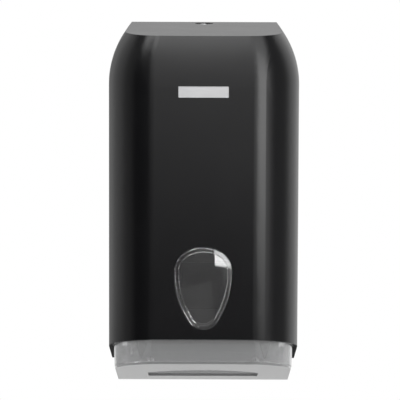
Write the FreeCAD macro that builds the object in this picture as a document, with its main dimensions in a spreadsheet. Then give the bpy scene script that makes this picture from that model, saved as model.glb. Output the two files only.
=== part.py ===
import FreeCAD, Part
import math
import os

import Sketcher

# Wall dispenser for folded toilet tissue: a wall unit and a hinged cover with a lock.
# X is the viewer's right, Y runs into the wall, Z is up, all in millimetres.
# The wall is the plane Y = 0 and the origin is the centre of the four wall screws.
# A depth is a distance from the wall, so the point at that depth has a negative Y.

Vector = FreeCAD.Vector
Rotation = FreeCAD.Rotation
Placement = FreeCAD.Placement

doc = FreeCAD.newDocument("TissueDispenser")

# Driving dimensions
SIZES = {
    # cover shell
    "cover_width": 156,
    "cover_depth": 145,
    "cover_wall": 2.7,
    "side_draft": 0.8,
    "corner_depth": 49,
    "panel_half": 43.5,
    "crease": 0.25,
    "crease_round": 28,
    "shoulder_radius": 76,
    "shoulder_height": 47.4,
    "front_ease": 10,
    "top_above": 144.4,
    "top_fall": 6.6,
    "rim_rise": 40,
    "gusset_leg": 15,
    "gusset_web": 1.6,
    "gusset_pitch": 24,
    # egg-shaped window and its lens
    "window_below": 50,
    "window_half": 23.15,
    "window_rise": 19.9,
    "window_corner": 18.6,
    "window_side": 75.2,
    "window_tip": 14,
    "land_back": 4,
    "land_width": 5,
    "lens_play": 0.3,
    "lens_wall": 1.8,
    "lens_flange": 1.6,
    "flange_width": 4,
    "window_edge": 0.6,
    "dome_proud": 3.4,
    "dome_across": 108,
    "dome_along": 800,
    "dome_drop": 10,
    "dome_edge": 0.8,
    "rim_width": 2.8,
    "rim_step": 1,
    "rim_edge": 0.7,
    "post_radius": 1.2,
    "post_head": 1.9,
    # hinge
    "hinge_depth": 7,
    "hinge_lift": 7.7,
    "knuckle_radius": 4.4,
    "pin_radius": 2,
    "pin_play": 0.05,
    "pin_head": 3,
    "pin_head_length": 1.4,
    "ear_width": 4,
    "boss_length": 6,
    "ear_play": 0.9,
    "heel_radius": 6.5,
    # back plate
    "plate_gap": 1,
    "plate_top_gap": 1.8,
    "plate_wall": 2.5,
    "plate_rim": 7,
    "rim_wall": 2,
    "plate_step": 11,
    "plate_rise": 11.1,
    "wall_screw_x": 40,
    "wall_screw_z": 90,
    "wall_screw_radius": 2.75,
    "wall_boss_radius": 7.5,
    "wall_boss_depth": 4.5,
    "rib_width": 1.6,
    "rib_depth": 5.5,
    "rib_clear": 4.5,
    # paper guides
    "side_space": 22.5,
    "guide_wall": 2,
    "front_space": 27,
    "guide_flange": 7,
    "guide_lip": 8,
    "guide_drop": 2,
    "guide_clear": 33,
    "guide_screw_z": 60,
    "guide_slope": 56,
    "chute_clear": 10,
    "chute_shift": 9.4,
    "chute_back": 24,
    "chute_inset": 6,
    # bottom tray
    "tray_gap": 1.1,
    "tray_front_gap": 3.3,
    "tray_below": 163.1,
    "tray_show": 18.4,
    "tray_rise": 39.3,
    "tray_height": 24,
    "tray_wall": 2.2,
    "tray_draft": 0.7,
    "tray_back": 0.4,
    "lip_height": 1.7,
    "lip_inset": 0.7,
    "lip_round": 0.8,
    "slot_half": 46,
    "slot_back": 34,
    "slot_side": 64,
    "slot_bow": 21,
    "tray_screw_x": 45,
    "tray_screw_drop": 8.5,
    "pocket_beside": 7.3,
    "pocket_half": 5.2,
    "pocket_foot": 0.9,
    "pocket_top": 15.1,
    "pocket_low": 1.6,
    "pocket_wall": 1.1,
    "pocket_depth": 9,
    # lock and keeper
    "lock_depth": 17,
    "lock_pad_drop": 6,
    "lock_pad_half": 16.5,
    "lock_pad_radius": 9,
    "lock_radius": 7.5,
    "lock_play": 0.1,
    "lock_flange": 2,
    "lock_sink": 0.5,
    "lock_length": 13.4,
    "lock_screw_x": 12.2,
    "barrel_radius": 6,
    "barrel_sink": 0.7,
    "barrel_head": 3,
    "barrel_shaft": 4,
    "turn_play": 0.06,
    "key_hole_radius": 0.9,
    "key_hole_x": 1.8,
    "cam_gap": 0.3,
    "cam_wall": 2.1,
    "cam_hub": 6,
    "cam_reach": 12.5,
    "cam_lug": 2,
    "cam_lug_width": 6,
    "cam_drop": 5.8,
    "washer_wall": 0.6,
    "washer_radius": 4.6,
    "keeper_wall": 1.6,
    "keeper_half": 14,
    "keeper_leg": 13.5,
    "keeper_clear": 1,
    "keeper_reach": 8.3,
    "keeper_tab_half": 4,
    "keeper_tab_height": 6.3,
    "keeper_tab_wall": 1.8,
    "keeper_screw_x": 9,
    # fixing screws
    "screw_radius": 1.6,
    "screw_head": 3.2,
    "screw_head_height": 2.1,
    "small_screw_radius": 1.15,
    "small_screw_head": 2.2,
    "small_screw_head_height": 1.5,
    "screw_play": 0.05,
}

sheet = doc.addObject("Spreadsheet::Sheet", "Dims")
for row, (alias, value) in enumerate(SIZES.items(), 1):
    sheet.set("A%d" % row, alias)
    sheet.set("B%d" % row, str(value))
    sheet.setAlias("B%d" % row, alias)
doc.recompute()

OVER = "2"  # how far a cutting shape runs past the solid that it cuts
SHOULDER_STEPS = 5  # spans of the lofted shoulder
SHOULDER_STEP_ANGLE = 8.8

# Sizes that several pieces share, as expressions
HALF = "(Dims.cover_width/2)"
INNER = "(%s - Dims.cover_wall)" % HALF
PLATE_HALF = "(%s - Dims.plate_gap)" % INNER
BOSS_IN = "(%s - Dims.boss_length)" % INNER
EAR_OUT = "(%s - Dims.ear_play)" % BOSS_IN
EAR_IN = "(%s - Dims.ear_width)" % EAR_OUT
PAPER_HALF = "(%s - Dims.side_space)" % HALF
GUIDE_SCREW_X = "(%s - Dims.guide_flange/2)" % PAPER_HALF
BIG_PILOT = "(Dims.screw_radius + Dims.screw_play)"
SMALL_PILOT = "(Dims.small_screw_radius + Dims.screw_play)"
POCKET_X = "(Dims.panel_half + Dims.pocket_beside)"

# Depths
LAND_DEPTH = "(Dims.cover_depth - Dims.land_back)"
DOME_DEPTH = "(Dims.cover_depth + Dims.dome_proud)"
GUIDE_DEPTH = "(Dims.cover_depth - Dims.front_space)"
CHUTE_FRONT = "(%s - Dims.chute_inset)" % GUIDE_DEPTH
TRAY_FRONT = "(Dims.cover_depth - Dims.cover_wall - Dims.tray_front_gap)"

# Heights above and below the origin
SHOULDER = "(Dims.top_above - Dims.shoulder_height)"
RIM_BELOW = "(Dims.tray_below - Dims.tray_show)"
HINGE_BELOW = "(%s - Dims.hinge_lift)" % RIM_BELOW
PLATE_BELOW = "(Dims.tray_below - Dims.plate_rise)"
PLATE_STEP = "(%s - Dims.plate_step)" % HINGE_BELOW
TRAY_SCREW_Z = "(%s + Dims.tray_screw_drop)" % HINGE_BELOW
CHUTE_BELOW = "(%s - Dims.chute_clear)" % HINGE_BELOW
POCKET_ABOVE = "(Dims.tray_below - Dims.tray_rise - Dims.pocket_top)"
POCKET_BELOW = "(Dims.tray_below - Dims.tray_rise - Dims.pocket_low)"
DOME_BELOW = "(Dims.window_below + Dims.dome_drop)"
GUIDE_ABOVE = "(%s - Dims.guide_drop)" % SHOULDER
GUIDE_BELOW = "(%s - Dims.guide_clear)" % HINGE_BELOW
TRAY_TILT = "atan(Dims.tray_rise/Dims.cover_depth)"
LOCK_TOP = "(Dims.top_above - Dims.top_fall*Dims.lock_depth/Dims.cover_depth)"
LOCK_SEAT = "(%s - Dims.lock_pad_drop)" % LOCK_TOP
LOCK_FOOT = "(%s - Dims.lock_length)" % LOCK_TOP
CAM_TOP = "(%s - Dims.cam_gap)" % LOCK_FOOT
KEEPER_TAB = "(%s - Dims.cam_wall - Dims.keeper_clear)" % CAM_TOP
KEEPER_SHELF = "(%s - Dims.keeper_tab_height)" % KEEPER_TAB
KEEPER_FOOT = "(%s - Dims.keeper_leg)" % KEEPER_SHELF
KEEPER_SCREW_Z = "(%s - Dims.keeper_leg*0.6)" % KEEPER_SHELF
RIB_PITCH = "((%s - Dims.rib_clear)/2.5)" % KEEPER_FOOT

parts = {}


def value(expression):
    """The number that an expression of the sheet gives now."""
    result = sheet.evalExpression(expression)
    return float(getattr(result, "Value", result))


def bind(item, path, expression):
    item.setExpression(path, expression)


def keep(item, label):
    """Name a sub-part's object after the piece that it models."""
    item.Label = label
    parts[label] = item
    return item


def new_body(name):
    return doc.addObject("PartDesign::Body", name)


def plane_of(body, role):
    return [item for item in body.Origin.OriginFeatures if item.Role == role][0]


def new_sketch(body, role, offset="0", tilt=None):
    """A sketch on one of the body's planes, moved along its normal and tilted about X."""
    sketch = body.newObject("Sketcher::SketchObject", body.Name + "Sketch")
    sketch.AttachmentSupport = [(plane_of(body, role), "")]
    sketch.MapMode = "FlatFace"
    if tilt:
        turn = Rotation(Vector(1, 0, 0), -value(tilt))
        sketch.AttachmentOffset = Placement(Vector(0, 0, value(offset)), turn)
        bind(sketch, "AttachmentOffset.Rotation.Angle", "-(%s)" % tilt if turn.Axis.x > 0 else tilt)
    bind(sketch, "AttachmentOffset.Base.z", offset)
    return sketch


def measure(sketch, kind, geometry, point, expression):
    """One distance of a point from the sketch's origin, bound to the sheet."""
    number = value(expression)
    if abs(number) < 1e-9 and expression == "0":
        axis = -2 if kind == "DistanceX" else -1
        sketch.addConstraint(Sketcher.Constraint("PointOnObject", geometry, point, axis))
        return
    index = sketch.addConstraint(Sketcher.Constraint(kind, -1, 1, geometry, point, number))
    bind(sketch, "Constraints[%d]" % index, expression)


def locate(sketch, geometry, point, x, y):
    measure(sketch, "DistanceX", geometry, point, x)
    measure(sketch, "DistanceY", geometry, point, y)


def set_radius(sketch, geometry, expression):
    index = sketch.addConstraint(Sketcher.Constraint("Radius", geometry, value(expression)))
    bind(sketch, "Constraints[%d]" % index, expression)


def arc_between(start, end, radius, hollow):
    """The short arc from start to end, bulging to the right of travel unless it is hollow."""
    chord = end - start
    side = Vector(-chord.y, chord.x, 0).normalize()
    rise = math.sqrt(max(radius * radius - chord.Length ** 2 / 4, 0))
    centre = (start + end) * 0.5 + side * (-rise if hollow else rise)
    first, last = (end, start) if hollow else (start, end)
    angles = [math.atan2(p.y - centre.y, p.x - centre.x) for p in (first, last)]
    if angles[1] <= angles[0]:
        angles[1] += 2 * math.pi
    return Part.ArcOfCircle(Part.Circle(centre, Vector(0, 0, 1), radius), angles[0], angles[1])


def outline(sketch, corners):
    """A closed outline. A corner is (x, y), or (x, y, radius) where an arc runs to the next one,
    or (x, y, radius, "hollow") where that arc bulges inwards."""
    points = [Vector(value(c[0]), value(c[1]), 0) for c in corners]
    ends = []
    for index, corner in enumerate(corners):
        start, end = points[index], points[(index + 1) % len(points)]
        hollow = len(corner) > 3
        if len(corner) > 2:
            arc = arc_between(start, end, value(corner[2]), hollow)
            geometry = sketch.addGeometry(arc, False)
        else:
            geometry = sketch.addGeometry(Part.LineSegment(start, end), False)
        ends.append((geometry, 2, 1) if hollow else (geometry, 1, 2))
    for index, (geometry, first, last) in enumerate(ends):
        following = ends[(index + 1) % len(ends)]
        joint = Sketcher.Constraint("Coincident", geometry, last, following[0], following[1])
        sketch.addConstraint(joint)
    for index, (corner, (geometry, first, last)) in enumerate(zip(corners, ends)):
        locate(sketch, geometry, first, corner[0], corner[1])
        if len(corner) > 2:
            after = corners[(index + 1) % len(corners)]
            chord = points[(index + 1) % len(points)] - points[index]
            if abs(chord.Length - 2 * value(corner[2])) < 1e-6:
                side = 0 if abs(chord.x) < abs(chord.y) else 1
                middle = "(%s + %s)/2" % (corner[side], after[side])
                measure(sketch, "DistanceX" if side == 0 else "DistanceY", geometry, 3, middle)
            else:
                set_radius(sketch, geometry, corner[2])


def rectangle(sketch, left, right, low, high):
    outline(sketch, [(right, high), (left, high), (left, low), (right, low)])


def circle(sketch, x, y, radius):
    centre = Vector(value(x), value(y), 0)
    shape = Part.Circle(centre, Vector(0, 0, 1), value(radius))
    geometry = sketch.addGeometry(shape, False)
    locate(sketch, geometry, 3, x, y)
    set_radius(sketch, geometry, radius)


def extrude(body, kind, sketch, length, reverse=False, both=False):
    """A Pad or Pocket of a set length. reverse turns it round, both centres it on the sketch."""
    feature = body.newObject("PartDesign::" + kind, body.Name + kind)
    feature.Profile = sketch
    bind(feature, "Length", length)
    feature.Reversed = reverse
    feature.Midplane = both
    return feature


def pad(body, sketch, length, **options):
    return extrude(body, "Pad", sketch, length, **options)


def pocket(body, sketch, length, **options):
    return extrude(body, "Pocket", sketch, length, **options)


def loft(body, kind, sketches, ruled=False):
    feature = body.newObject("PartDesign::%sLoft" % kind, body.Name + "Loft")
    feature.Profile = sketches[0]
    feature.Sections = sketches[1:]
    feature.Ruled = ruled
    return feature


def mirror(body, features):
    """The same features on the other side of the plane X = 0."""
    doc.recompute()
    feature = body.newObject("PartDesign::Mirrored", body.Name + "Mirrored")
    feature.Originals = features
    feature.MirrorPlane = (plane_of(body, "YZ_Plane"), [""])
    body.Tip = feature
    return feature


def dress(body, kind, chosen, path, size):
    """A Fillet or Chamfer on the edges of the body whose bounding box is chosen."""
    shape = body.Shape
    edges = ["Edge%d" % (i + 1) for i, edge in enumerate(shape.Edges) if chosen(edge.BoundBox)]
    base = body.Tip
    feature = body.newObject("PartDesign::" + kind, body.Name + kind)
    feature.Base = (base, edges)
    bind(feature, path, size)
    body.Tip = feature
    doc.recompute()


# Plan section that the cover and the tray share: flat back, straight sides, corners that are
# quarter ellipses cut off at a crease, and a slightly crowned front panel between the creases
def plan_section(sketch, half, depth, corner, panel, draft, back="0"):
    side = "(%s - %s)" % (half, draft)
    middle = "((%s - %s*Dims.crease)/(1 - Dims.crease))" % (panel, side)
    start = "(%s - %s)" % (depth, corner)
    sag = "(%s*(1 - sqrt(1 - Dims.crease^2)))" % corner
    crown = "((%s^2 + %s^2)/2/%s)" % (panel, sag, sag)
    front = "(%s - %s)" % (depth, sag)
    corners = [
        (half, back),
        ("-" + half, back),
        ("-" + side, "-" + start),
        ("-" + panel, "-" + front),
        (panel, "-" + front),
        (side, "-" + start),
    ]
    points = [Vector(value(x), value(y), 0) for x, y in corners]
    across, along = value(side) - value(middle), value(corner)
    ellipses = {2: -1, 4: 1}
    lines = []
    for index, start_point in enumerate(points):
        end_point = points[(index + 1) % len(points)]
        if index in ellipses:
            centre = Vector(ellipses[index] * value(middle), -value(start), 0)
            shape = elliptic_arc(centre, across, along, start_point, end_point)
        elif index == 3:
            shape = arc_between(start_point, end_point, value(crown), False)
        else:
            shape = Part.LineSegment(start_point, end_point)
        lines.append(sketch.addGeometry(shape, False))
    for index, geometry in enumerate(lines):
        following = lines[(index + 1) % len(lines)]
        sketch.addConstraint(Sketcher.Constraint("Coincident", geometry, 2, following, 1))
        locate(sketch, geometry, 1, *corners[index])
    set_radius(sketch, lines[3], crown)
    for index, side_sign in ellipses.items():
        sign = "-" if side_sign < 0 else ""
        locate(sketch, lines[index], 3, sign + middle, "-" + start)
        axis_line = sketch.GeometryCount
        sketch.exposeInternalGeometry(lines[index])
        upright = "Vertical" if along >= across else "Horizontal"
        sketch.addConstraint(Sketcher.Constraint(upright, axis_line))


def elliptic_arc(centre, across, along, start, end):
    """The arc of an ellipse with half axes across (X) and along (Y), counter-clockwise."""
    if along >= across:
        major, minor = Vector(0, along, 0), Vector(-across, 0, 0)
    else:
        major, minor = Vector(across, 0, 0), Vector(0, along, 0)
    ellipse = Part.Ellipse(centre + major, centre + minor, centre)
    first, last = ellipse.parameter(start), ellipse.parameter(end)
    if last <= first:
        last += 2 * math.pi
    return Part.ArcOfEllipse(ellipse, first, last)


# Egg outline of the window on the front, moved outwards by grow. It is drawn from arcs: one over
# the top, a tighter one at each upper corner, a long one down each side and one round the tip.
def egg(sketch, grow="0"):
    level = "(-Dims.window_below)"
    inset = "(Dims.window_half - Dims.window_corner)"
    over = "(Dims.window_rise - Dims.window_corner)"
    top = "((%s^2 + Dims.window_rise^2 - Dims.window_corner^2)/2/%s)" % (inset, over)
    top_x = "((%s + %s)*%s/(%s - Dims.window_corner))" % (top, grow, inset, top)
    top_z = "(%s + Dims.window_rise - %s + (%s + %s)*(%s - Dims.window_rise)/(%s - Dims.window_corner))" % (
        level, top, top, grow, top, top)
    reach = "(Dims.window_side - Dims.window_half)"
    span = "(Dims.window_side - Dims.window_tip)"
    drop = "sqrt(%s^2 - %s^2)" % (span, reach)
    low_x = "((Dims.window_side + %s)*%s/%s - %s)" % (grow, reach, span, reach)
    low_z = "(%s - (Dims.window_side + %s)*%s/%s)" % (level, grow, drop, span)
    wide = "(Dims.window_half + %s)" % grow
    corner = "(Dims.window_corner + %s)" % grow
    side = "(Dims.window_side + %s)" % grow
    outline(sketch, [
        (top_x, top_z, "(%s + %s)" % (top, grow)),
        ("-" + top_x, top_z, corner),
        ("-" + wide, level, side),
        ("-" + low_x, low_z, "(Dims.window_tip + %s)" % grow),
        (low_x, low_z, side),
        (wide, level, corner),
    ])


def on_crease(box, crease_x, middle):
    return box.ZLength > 1 and box.YMax < middle and abs(abs(box.Center.x) - crease_x) < 1


# Solid form of the cover's outside (inset 0) or of the space inside it (inset = wall)
def cover_form(name, inset, back, below):
    body = new_body(name)
    sections = []
    for step in range(SHOULDER_STEPS + 1):
        angle = "%g" % (SHOULDER_STEP_ANGLE * step)
        radius = "(Dims.shoulder_radius - %s)" % inset
        level = (SHOULDER + " + %s*sin(%s)") % (radius, angle)
        half = "(Dims.cover_width/2 - %s - %s*(1 - cos(%s)))" % (inset, radius, angle)
        depth = "(Dims.cover_depth - %s - Dims.front_ease*(1 - cos(%s)))" % (inset, angle)
        sketch = new_sketch(body, "XY_Plane", level)
        panel = "(Dims.panel_half - %s*Dims.crease)" % inset
        corner = "(Dims.corner_depth - %s)" % inset
        plan_section(sketch, half, depth, corner, panel, "Dims.side_draft", back)
        sections.append(sketch)
    pad(body, sections[0], (SHOULDER + " + " + RIM_BELOW + " + %s") % below, reverse=True)
    doc.recompute()
    loft(body, "Additive", sections)
    doc.recompute()
    if inset == "0":
        crease_x, middle = value("Dims.panel_half"), -value("Dims.cover_depth")/2
        dress(body, "Fillet", lambda box: on_crease(box, crease_x, middle), "Radius", "Dims.crease_round")
    slope = "Dims.top_fall/Dims.cover_depth"
    behind, ahead = "(%s + 1)" % OVER, "(Dims.cover_depth + %s)" % OVER
    level = "(Dims.top_above - %s)" % inset
    lid = new_sketch(body, "YZ_Plane")
    outline(lid, [
        (behind, "%s + 20" % level),
        ("-" + ahead, "%s + 20" % level),
        ("-" + ahead, "%s - %s*%s" % (level, ahead, slope)),
        (behind, "%s + %s*%s" % (level, behind, slope)),
    ])
    pocket(body, lid, "2*Dims.cover_width", both=True)
    return body


def post_places():
    """Where the lens posts stand: over, under and beside the window."""
    out = "(Dims.window_half + Dims.flange_width/2)"
    drop = "sqrt((Dims.window_side - Dims.window_tip)^2 - (Dims.window_side - Dims.window_half)^2)"
    low = "(Dims.window_below + %s + Dims.window_tip + Dims.flange_width/2)" % drop
    high = "(Dims.window_below - Dims.window_rise - Dims.flange_width/2)"
    beside = "-Dims.window_below"
    return [("0", "-" + high), ("0", "-" + low), ("-" + out, beside), (out, beside)]


def on_window(box, front, edge_x, low):
    return box.YMax < front and max(-box.XMin, box.XMax) < edge_x and box.ZMin > low and box.ZMax < 0


def front_cover():
    outer = cover_form("CoverOutside", "0", "0", "0")
    slope = "Dims.rim_rise/Dims.cover_depth"
    ahead = "(Dims.cover_depth + %s)" % OVER
    rim = new_sketch(outer, "YZ_Plane")
    outline(rim, [
        (OVER, ("-" + RIM_BELOW + " - %s*%s") % (OVER, slope)),
        ("-" + ahead, ("-" + RIM_BELOW + " + %s*%s") % (ahead, slope)),
        ("-" + ahead, "-" + RIM_BELOW + " - 10"),
        (OVER, "-" + RIM_BELOW + " - 10"),
    ])
    pocket(outer, rim, "2*Dims.cover_width", both=True)
    inner = cover_form("CoverInside", "Dims.cover_wall", OVER, OVER)
    shell = doc.addObject("Part::Cut", "CoverShell")
    shell.Base = outer
    shell.Tool = inner
    doc.recompute()

    body = new_body("FrontCover")
    body.BaseFeature = shell
    doc.recompute()

    # pad under the top that the lock hangs from
    seat = new_sketch(body, "XY_Plane", LOCK_SEAT)
    across, along = "(Dims.lock_pad_half - Dims.lock_pad_radius)", "Dims.lock_pad_radius"
    near, far = "(-Dims.lock_depth + %s)" % along, "(-Dims.lock_depth - %s)" % along
    outline(seat, [
        (across, near),
        ("-" + across, near, along),
        ("-" + across, far),
        (across, far, along),
    ])
    pad(body, seat, ("%s - Dims.cover_wall/2 - " + LOCK_SEAT) % LOCK_TOP)

    # flat land behind the front panel that the lens flange seats on
    land = new_sketch(body, "XZ_Plane", LAND_DEPTH)
    egg(land, "Dims.land_width")
    pad(body, land, "Dims.cover_depth - Dims.cover_wall/2 - " + LAND_DEPTH)

    # webs that tie the top to the front panel
    web_top = "Dims.top_above - Dims.top_fall - Dims.cover_wall/2"
    web = new_sketch(body, "YZ_Plane", "-1.5*Dims.gusset_pitch - Dims.gusset_web/2")
    web_front = "(Dims.cover_depth - Dims.front_ease/4 - Dims.cover_wall)"
    outline(web, [
        ("-(%s - Dims.gusset_leg)" % web_front, web_top),
        ("-" + web_front, web_top),
        ("-" + web_front, "%s - Dims.gusset_leg" % web_top),
    ])
    first_web = pad(body, web, "Dims.gusset_web")
    doc.recompute()
    webs = body.newObject("PartDesign::LinearPattern", "TopWebs")
    webs.Originals = [first_web]
    webs.Direction = (plane_of(body, "YZ_Plane"), [""])
    bind(webs, "Length", "3*Dims.gusset_pitch")
    webs.Occurrences = 4
    body.Tip = webs
    doc.recompute()

    # window, lock hole and the pilot holes of the lock screws
    window = new_sketch(body, "XZ_Plane", LAND_DEPTH + " - 1")
    egg(window)
    pocket(body, window, "Dims.cover_depth", reverse=True)
    doc.recompute()
    front = -value(LAND_DEPTH + " + Dims.cover_wall/2")
    low = -value("Dims.window_below + Dims.window_side")
    edge_x = value("Dims.window_half + 1")
    dress(body, "Fillet", lambda box: on_window(box, front, edge_x, low), "Radius", "Dims.window_edge")
    hole = new_sketch(body, "XY_Plane", LOCK_SEAT + " - 1")
    circle(hole, "0", "-Dims.lock_depth", "Dims.lock_radius + Dims.lock_play")
    pocket(body, hole, "20", reverse=True)
    pilots = new_sketch(body, "XY_Plane", LOCK_SEAT)
    for sign in ("", "-"):
        circle(pilots, sign + "Dims.lock_screw_x", "-Dims.lock_depth", SMALL_PILOT)
    pocket(body, pilots, ("%s - " + LOCK_SEAT + " - 1") % LOCK_TOP, reverse=True)

    # posts that are melted over behind the lens flange
    places = post_places()
    stems = new_sketch(body, "XZ_Plane", LAND_DEPTH + " - Dims.lens_flange")
    for x, z in places:
        circle(stems, x, z, "Dims.post_radius")
    pad(body, stems, "Dims.lens_flange + 0.5")
    heads = new_sketch(body, "XZ_Plane", LAND_DEPTH + " - Dims.lens_flange")
    for x, z in places:
        circle(heads, x, z, "Dims.post_head")
    pad(body, heads, "0.8", reverse=True)

    # hinge bosses with the blind bores that the pins are pressed into
    boss = new_sketch(body, "YZ_Plane", BOSS_IN)
    circle(boss, "-Dims.hinge_depth", "-" + HINGE_BELOW, "Dims.knuckle_radius")
    boss_pad = pad(body, boss, "Dims.boss_length + Dims.cover_wall/2")
    bore = new_sketch(body, "YZ_Plane", BOSS_IN)
    circle(bore, "-Dims.hinge_depth", "-" + HINGE_BELOW, "Dims.pin_radius")
    bore_cut = pocket(body, bore, "Dims.boss_length - 0.5", reverse=True)
    mirror(body, [boss_pad, bore_cut])
    doc.recompute()

    # rounded heel, so that the open cover clears the wall
    heel = new_sketch(body, "YZ_Plane")
    outline(heel, [
        (OVER, "-" + HINGE_BELOW),
        ("-(Dims.hinge_depth - Dims.heel_radius)", "-" + HINGE_BELOW, "Dims.heel_radius", "hollow"),
        ("-Dims.hinge_depth", "-" + HINGE_BELOW + " - Dims.heel_radius"),
        ("-Dims.hinge_depth", "-" + HINGE_BELOW + " - 2*Dims.heel_radius"),
        (OVER, "-" + HINGE_BELOW + " - 2*Dims.heel_radius"),
    ])
    body.Tip = pocket(body, heel, "2*Dims.cover_width", both=True)
    keep(body, "front_cover")


def lens_form(name, inset, shrink, behind="0"):
    """A pillar with the window's outline whose front is a dome that curves both ways."""
    body = new_body(name)
    back = "(%s - Dims.lens_flange - %s)" % (LAND_DEPTH, behind)
    pillar = new_sketch(body, "XZ_Plane", back)
    egg(pillar, "(-Dims.lens_play - %s)" % inset)
    pad(body, pillar, (DOME_DEPTH + " - %s + 1") % back)
    doc.recompute()
    across = "(Dims.dome_across - %s)" % shrink
    along = "(Dims.dome_along - %s)" % shrink
    half = "(Dims.window_half + 1)"
    edge = "(%s - %s + sqrt(%s^2 - %s^2))" % (along, across, across, half)
    arch = new_sketch(body, "XY_Plane", "-" + DOME_BELOW)
    arch.AttachmentOffset = Placement(Vector(0, value("Dims.dome_along - " + DOME_DEPTH), 0), Rotation())
    bind(arch, "AttachmentOffset.Base.y", "Dims.dome_along - " + DOME_DEPTH)
    bind(arch, "AttachmentOffset.Base.z", "-" + DOME_BELOW)
    beyond = "(Dims.dome_along + 10)"
    outline(arch, [
        ("-" + half, "-" + edge, across),
        (half, "-" + edge),
        (half, "-" + beyond),
        ("-" + half, "-" + beyond),
    ])
    groove = body.newObject("PartDesign::Groove", name + "Groove")
    groove.Profile = arch
    groove.ReferenceAxis = (arch, ["H_Axis"])
    bind(groove, "Angle", "2*atan(Dims.window_side/Dims.dome_along)")
    groove.Midplane = True
    doc.recompute()
    return body


def window_lens():
    body = lens_form("LensRim", "0", "Dims.rim_step")
    front = -value(LAND_DEPTH)
    dress(body, "Fillet", lambda box: box.YMax < front, "Radius", "Dims.rim_edge")
    flange = new_sketch(body, "XZ_Plane", LAND_DEPTH + " - Dims.lens_flange")
    egg(flange, "Dims.flange_width")
    pad(body, flange, "Dims.lens_flange")
    doc.recompute()
    holes = new_sketch(body, "XZ_Plane", LAND_DEPTH + " - Dims.lens_flange - 1")
    for x, z in post_places():
        circle(holes, x, z, "(Dims.post_radius + Dims.screw_play)")
    pocket(body, holes, "(Dims.lens_flange + 2)", reverse=True)
    dome = lens_form("LensDome", "Dims.rim_width", "0")
    dress(dome, "Fillet", lambda box: box.YMax < front, "Radius", "Dims.dome_edge")
    whole = doc.addObject("Part::Fuse", "LensWhole")
    whole.Base = body
    whole.Tool = dome
    hollow = lens_form("LensInside", "(Dims.rim_width + 1)", "Dims.lens_wall", "1")
    lens = doc.addObject("Part::Cut", "WindowLens")
    lens.Base = whole
    lens.Tool = hollow
    keep(lens, "window_lens")


# Back plate
def plate_outline(sketch, inset):
    """The front view of the back plate, moved inwards by inset."""
    half = "(%s - %s)" % (PLATE_HALF, inset)
    radius = "(Dims.shoulder_radius - Dims.cover_wall - Dims.plate_gap - %s)" % inset
    top = "(Dims.top_above - Dims.cover_wall - Dims.plate_top_gap - %s)" % inset
    top_x = ("(%s - %s + sqrt(%s^2 - (%s - " + SHOULDER + ")^2))") % (half, radius, radius, top)
    narrow = "(%s - %s)" % (EAR_OUT, inset)
    step = ("(-" + PLATE_STEP + " + %s)") % inset
    low = ("(-" + PLATE_BELOW + " + %s)") % inset
    outline(sketch, [
        (narrow, low),
        (narrow, step),
        (half, step),
        (half, SHOULDER, radius),
        (top_x, top),
        ("-" + top_x, top, radius),
        ("-" + half, SHOULDER),
        ("-" + half, step),
        ("-" + narrow, step),
        ("-" + narrow, low),
    ])


def wall_screw_places():
    return [(a + "Dims.wall_screw_x", b + "Dims.wall_screw_z") for a in ("", "-") for b in ("", "-")]


def guide_screw_places():
    return [(a + GUIDE_SCREW_X, b + "Dims.guide_screw_z") for a in ("", "-") for b in ("", "-")]


def ear_outline(sketch, grow):
    """The side view of a hinge ear: square against the plate and round in front."""
    upper = ("(-" + HINGE_BELOW + " + Dims.knuckle_radius + %s)") % grow
    lower = ("(-" + HINGE_BELOW + " - Dims.knuckle_radius - %s)") % grow
    outline(sketch, [
        ("-1", upper),
        ("-Dims.hinge_depth", upper, "(Dims.knuckle_radius + %s)" % grow),
        ("-Dims.hinge_depth", lower),
        ("-1", lower),
    ])


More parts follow.
